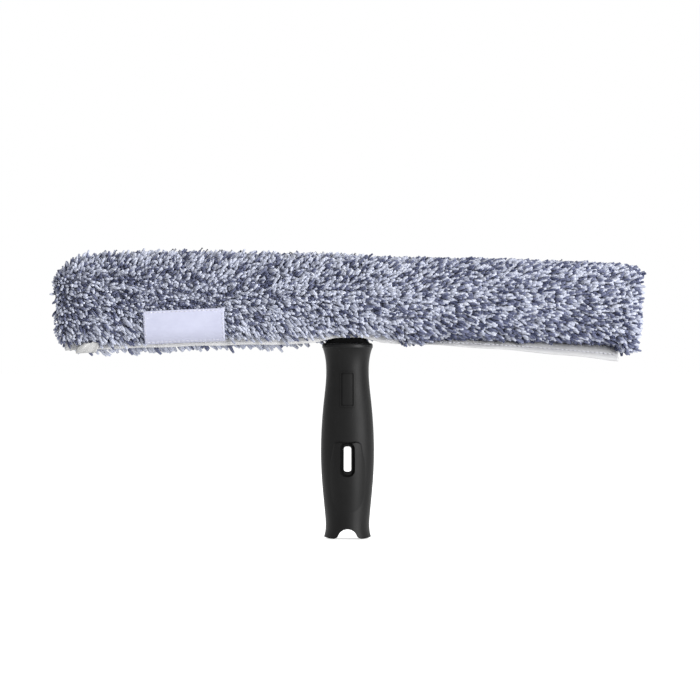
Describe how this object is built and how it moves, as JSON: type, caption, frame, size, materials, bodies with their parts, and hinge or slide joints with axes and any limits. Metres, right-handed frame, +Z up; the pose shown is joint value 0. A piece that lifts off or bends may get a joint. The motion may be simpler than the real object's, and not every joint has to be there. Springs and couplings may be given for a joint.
{
  "type": "window scrubber",
  "caption": "T-shaped window scrubber: a soft-gripped handle with a pole socket carries a bowed crossbar inside a removable sleeve of blue and white pile.",
  "frame": {"origin": "centre of the mouth of the straight pole bore in the foot of the handle", "axes": "+X along the crossbar to the right, +Y from the front to the back, +Z up the handle"},
  "size_m": [0.464, 0.0555, 0.2225],
  "materials": {
    "core_plastic": "satin",
    "grip_rubber": "matte",
    "screw_steel": "satin",
    "bar_aluminium": "satin",
    "plug_plastic": "matte",
    "backing_cloth": "matte",
    "pile": "matte",
    "white_tape": "matte",
    "label_cloth": "satin"
  },
  "bodies": {
    "handle": {"handle_core": "core_plastic", "grip": "grip_rubber", "stem": "core_plastic", "stem_screw": "screw_steel", "stem_washer": "screw_steel", "crossbar": "bar_aluminium", "end_plug_left": "plug_plastic", "end_plug_right": "plug_plastic", "bar_screws": "screw_steel"},
    "sleeve": {"sleeve_backing": "backing_cloth", "pile_cover": "pile", "pile_end": "pile", "hem_front": "white_tape", "hem_back": "white_tape", "seam_tape": "white_tape", "end_binding": "white_tape", "label": "label_cloth"}
  },
  "joints": [
    {"name": "sleeve_pull_off", "type": "hinge", "parent": "handle", "child": "sleeve", "pos_m": [0, 0, -2.8214], "axis": [0, 1, 0], "range_deg": [0, 9]}
  ]
}
